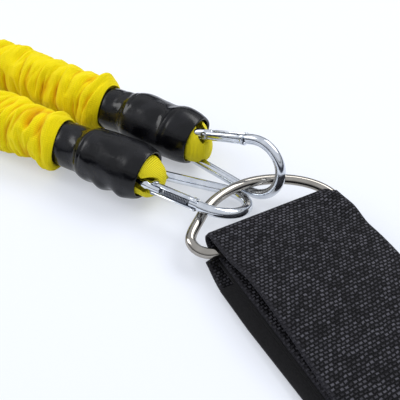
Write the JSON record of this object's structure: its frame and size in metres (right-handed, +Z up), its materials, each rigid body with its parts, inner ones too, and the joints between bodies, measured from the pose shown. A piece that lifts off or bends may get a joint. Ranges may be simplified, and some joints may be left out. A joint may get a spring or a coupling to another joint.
{
  "type": "leg resistance band",
  "caption": "Leg resistance band: a black webbing cuff with a D-ring, and sleeved elastic tubes that clip onto it with snap hooks.",
  "frame": {"origin": "on the underside of the flattened cuff, midway along it and across it, on the surface that the band lies on", "axes": "+X from the tubes' free ends towards the cuff, +Y towards the left tube, +Z up"},
  "size_m": [0.6675, 0.1426, 0.0291],
  "materials": {
    "webbing": "coarse woven black webbing",
    "hook_tape": "hook side of a hook-and-loop tape",
    "loop_tape": "fuzzy loop side of a hook-and-loop tape",
    "nickel_ring": "bright nickel plate, slightly warm",
    "hook_wire": "bright zinc plate",
    "gate": "bright zinc plate on folded sheet",
    "rivet": "zinc plate",
    "spring": "bright spring wire",
    "sleeve": "gathered woven sleeve, ribbed",
    "woven_loop": "ribbed woven band",
    "latex": "smooth latex",
    "vinyl": "satin-gloss shrunk vinyl",
    "plug": "moulded",
    "ferrule": "crimped zinc-plated ring"
  },
  "bodies": {
    "cuff": {"cuff_webbing": "webbing", "hook_tape": "hook_tape", "loop_tape": "loop_tape"},
    "ring": {"d_ring": "nickel_ring"},
    "left_near_snap": {"left_near_hook": "hook_wire", "left_near_gate_rivet": "rivet"},
    "left_near_latch": {"left_near_gate": "gate", "left_near_gate_spring": "spring"},
    "left_tube": {"left_near_collar": "vinyl", "left_near_end_plug": "plug", "left_near_ferrule": "ferrule", "left_near_loop": "woven_loop", "left_sleeve": "sleeve", "left_latex": "latex"},
    "left_far_end": {"left_far_collar": "vinyl", "left_far_end_plug": "plug", "left_far_ferrule": "ferrule", "left_far_loop": "woven_loop"},
    "left_far_snap": {"left_far_hook": "hook_wire", "left_far_gate_rivet": "rivet"},
    "left_far_latch": {"left_far_gate": "gate", "left_far_gate_spring": "spring"},
    "right_near_snap": {"right_near_hook": "hook_wire", "right_near_gate_rivet": "rivet"},
    "right_near_latch": {"right_near_gate": "gate", "right_near_gate_spring": "spring"},
    "right_tube": {"right_near_collar": "vinyl", "right_near_end_plug": "plug", "right_near_ferrule": "ferrule", "right_near_loop": "woven_loop", "right_sleeve": "sleeve", "right_latex": "latex"},
    "right_far_end": {"right_far_collar": "vinyl", "right_far_end_plug": "plug", "right_far_ferrule": "ferrule", "right_far_loop": "woven_loop"},
    "right_far_snap": {"right_far_hook": "hook_wire", "right_far_gate_rivet": "rivet"},
    "right_far_latch": {"right_far_gate": "gate", "right_far_gate_spring": "spring"}
  },
  "joints": [
    {"name": "ring_swing", "type": "hinge", "parent": "cuff", "child": "ring", "pos_m": [-0.06183, 0.03328, 0.0075], "axis": [0.592, 0.8059, 0], "range_deg": [-4, 50]},
    {"name": "left_near_hook_swing", "type": "hinge", "parent": "ring", "child": "left_near_snap", "pos_m": [-0.08169, 0.0502, 0.00991], "axis": [0.651, 0.7591, -0.007], "range_deg": [-8, 28]},
    {"name": "left_near_gate_press", "type": "hinge", "parent": "left_near_snap", "child": "left_near_latch", "pos_m": [-0.10508, 0.05549, 0.02002], "axis": [0.1352, 0.9713, -0.1959], "range_deg": [0, 25], "stiffness_Nm_per_rad": 0.02, "springref_deg": -28.65, "deforming": ["left_near_gate_spring"]},
    {"name": "left_tube_swing", "type": "hinge", "parent": "left_near_snap", "child": "left_tube", "pos_m": [-0.1144, 0.05517, 0.01198], "axis": [0.1068, -0.2109, -0.9717], "range_deg": [-4, 20]},
    {"name": "left_tube_stretch", "type": "slide", "parent": "left_tube", "child": "left_far_end", "axis": [-0.9998, 0.0175, 0], "range_m": [0, 0.3], "stiffness_N_per_m": 120, "deforming": ["left_sleeve", "left_latex"]},
    {"name": "left_far_hook_swing", "type": "hinge", "parent": "left_far_end", "child": "left_far_snap", "pos_m": [-0.54075, 0.06564, 0.01241], "axis": [0.0872, 0.9962, 0], "range_deg": [-10, 25]},
    {"name": "left_far_gate_press", "type": "hinge", "parent": "left_far_snap", "child": "left_far_latch", "pos_m": [-0.55123, 0.05965, 0.01001], "axis": [0.2341, -0.0205, -0.972], "range_deg": [0, 25], "stiffness_Nm_per_rad": 0.02, "springref_deg": -28.65, "deforming": ["left_far_gate_spring"]},
    {"name": "right_near_hook_swing", "type": "hinge", "parent": "ring", "child": "right_near_snap", "pos_m": [-0.08886, 0.03469, 0.0096], "axis": [-0.1971, -0.9796, -0.0391], "range_deg": [-12, 10]},
    {"name": "right_near_gate_press", "type": "hinge", "parent": "right_near_snap", "child": "right_near_latch", "pos_m": [-0.10961, 0.02524, 0.01289], "axis": [-0.0157, 0.3598, 0.9329], "range_deg": [0, 25], "stiffness_Nm_per_rad": 0.02, "springref_deg": -28.65, "deforming": ["right_near_gate_spring"]},
    {"name": "right_tube_swing", "type": "hinge", "parent": "right_near_snap", "child": "right_tube", "pos_m": [-0.1208, 0.02996, 0.01088], "axis": [-0.1633, 0.9196, -0.3574], "range_deg": [-12, 12]},
    {"name": "right_tube_stretch", "type": "slide", "parent": "right_tube", "child": "right_far_end", "axis": [-0.999, -0.0436, 0], "range_m": [0, 0.3], "stiffness_N_per_m": 120, "deforming": ["right_sleeve", "right_latex"]},
    {"name": "right_far_hook_swing", "type": "hinge", "parent": "right_far_end", "child": "right_far_snap", "pos_m": [-0.53628, 0.01291, 0.01241], "axis": [-0.1132, 0.9936, 0], "range_deg": [-10, 25]},
    {"name": "right_far_gate_press", "type": "hinge", "parent": "right_far_snap", "child": "right_far_latch", "pos_m": [-0.54536, 0.00495, 0.01001], "axis": [0.2335, 0.0266, -0.972], "range_deg": [0, 25], "stiffness_Nm_per_rad": 0.02, "springref_deg": -28.65, "deforming": ["right_far_gate_spring"]}
  ]
}
